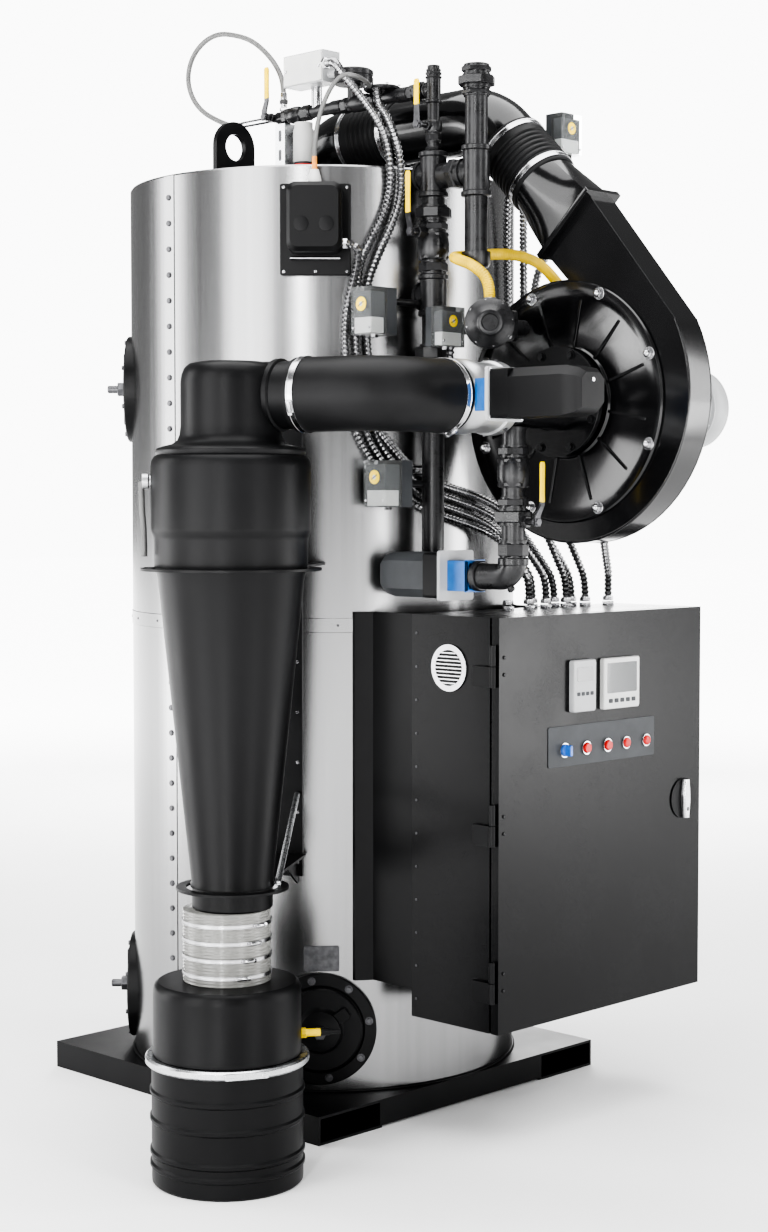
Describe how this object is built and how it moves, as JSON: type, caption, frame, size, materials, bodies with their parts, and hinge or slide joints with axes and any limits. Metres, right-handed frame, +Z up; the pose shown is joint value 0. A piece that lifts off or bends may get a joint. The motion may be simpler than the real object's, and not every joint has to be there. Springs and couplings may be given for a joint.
{
  "type": "industrial boiler",
  "caption": "Vertical brushed-steel steam boiler on a forklift skid, with a blower, gas train, air cyclone with drum, and a black control cabinet.",
  "frame": {"origin": "on the floor, under the vertical shell's axis", "axes": "+Z up; -Y is the side that the control cabinet's door faces; -X is the side with the cyclone"},
  "size_m": [1.3699, 1.5887, 2.4774],
  "materials": {
    "jacket": "vertical brushed stainless",
    "black_paint": "satin powder coat",
    "gloss_black": "gloss enamel",
    "black_pipe": "black malleable iron, painted",
    "black_plastic": "moulded",
    "black_rubber": "matt",
    "bright_steel": "bright zinc",
    "aluminium": "satin cast",
    "blue_paint": "satin",
    "yellow_grip": "dipped vinyl",
    "yellow_hose": "ribbed hose",
    "clear_plastic": "clear ribbed hose",
    "grey_paint": "light grey enamel",
    "red_plastic": "lens",
    "blue_plastic": "knob",
    "hose_grey": "braided hose"
  },
  "bodies": {
    "boiler": {"skid_plate": "black_paint", "fork_tube_left": "black_paint", "fork_tube_right": "black_paint", "skid_skirts": "black_paint", "lower_jacket": "jacket", "upper_jacket": "jacket", "lifting_lugs": "black_paint", "handhole_covers": "black_paint", "cleanout_cover": "black_paint", "probe_box": "black_plastic", "cyclone_body": "black_plastic", "cyclone_cap": "black_plastic", "backing_plate": "black_paint", "cyclone_brackets": "black_paint", "drum_body": "black_plastic", "drum_ring": "bright_steel", "drum_collar": "black_plastic", "drop_hose": "clear_plastic", "level_sensor": "yellow_grip", "inlet_hose": "black_rubber", "air_valve": "aluminium", "hose_clamps": "bright_steel", "intake_neck": "gloss_black", "actuator_brackets": "blue_paint", "air_actuator": "aluminium", "gas_actuator": "aluminium", "blower_housing": "gloss_black", "blower_plate": "gloss_black", "blower_motor": "grey_paint", "blower_outlet": "gloss_black", "outlet_coupling": "black_rubber", "air_duct": "gloss_black", "duct_coupling": "black_rubber", "burner_neck": "gloss_black", "gas_riser": "black_pipe", "gas_side_stack": "black_pipe", "gas_top_line": "black_pipe", "gas_drop_line": "black_pipe", "regulator": "black_pipe", "pressure_switches": "clear_plastic", "junction_box": "grey_paint", "strut_post": "bright_steel", "conduits": "bright_steel", "conduit_glands": "bright_steel", "impulse_hose": "yellow_hose", "instrument_loop": "hose_grey", "cabinet_box": "black_paint", "gear_plate": "grey_paint", "cabinet_channels": "black_paint", "hinge_leaves": "black_paint"},
    "cabinet_door": {"cabinet_door": "black_paint", "door_fittings": "black_plastic"},
    "door_handle": {"door_handle": "bright_steel"},
    "selector_knob": {"selector_knob": "blue_plastic"},
    "reset_button_left": {"reset_button_left": "red_plastic"},
    "reset_button_right": {"reset_button_right": "red_plastic"},
    "valve_lever_riser": {"valve_lever_riser": "yellow_grip"},
    "valve_lever_pilot": {"valve_lever_pilot": "yellow_grip"},
    "valve_lever_top": {"valve_lever_top": "yellow_grip"},
    "valve_lever_drop": {"valve_lever_drop": "yellow_grip"}
  },
  "joints": [
    {"name": "door_hinge", "type": "hinge", "parent": "boiler", "child": "cabinet_door", "pos_m": [-0.242, -0.754, 0.687], "axis": [0, 0, -1], "range_deg": [0, 120]},
    {"name": "handle_turn", "type": "hinge", "parent": "cabinet_door", "child": "door_handle", "pos_m": [0.404, -0.764, 0.687], "axis": [0, -1, 0], "range_deg": [0, 90]},
    {"name": "selector_turn", "type": "hinge", "parent": "cabinet_door", "child": "selector_knob", "pos_m": [-0.022, -0.764, 0.832], "axis": [0, -1, 0], "range_deg": [-45, 45]},
    {"name": "reset_left_press", "type": "slide", "parent": "cabinet_door", "child": "reset_button_left", "axis": [0, 1, 0], "range_m": [0, 0.004], "stiffness_N_per_m": 400},
    {"name": "reset_right_press", "type": "slide", "parent": "cabinet_door", "child": "reset_button_right", "axis": [0, 1, 0], "range_m": [0, 0.004], "stiffness_N_per_m": 400},
    {"name": "riser_valve_turn", "type": "hinge", "parent": "boiler", "child": "valve_lever_riser", "pos_m": [-0.22, -0.499, 1.94], "axis": [1, 0, 0], "range_deg": [0, 90]},
    {"name": "pilot_valve_turn", "type": "hinge", "parent": "boiler", "child": "valve_lever_pilot", "pos_m": [-0.2, -0.499, 2.17], "axis": [1, 0, 0], "range_deg": [0, 90]},
    {"name": "top_valve_turn", "type": "hinge", "parent": "boiler", "child": "valve_lever_top", "pos_m": [-0.185, 0, 2.25], "axis": [-1, 0, 0], "range_deg": [0, 90]},
    {"name": "drop_valve_turn", "type": "hinge", "parent": "boiler", "child": "valve_lever_drop", "pos_m": [-0.21, -0.845, 1.322], "axis": [0, -1, 0], "range_deg": [0, 90]}
  ]
}
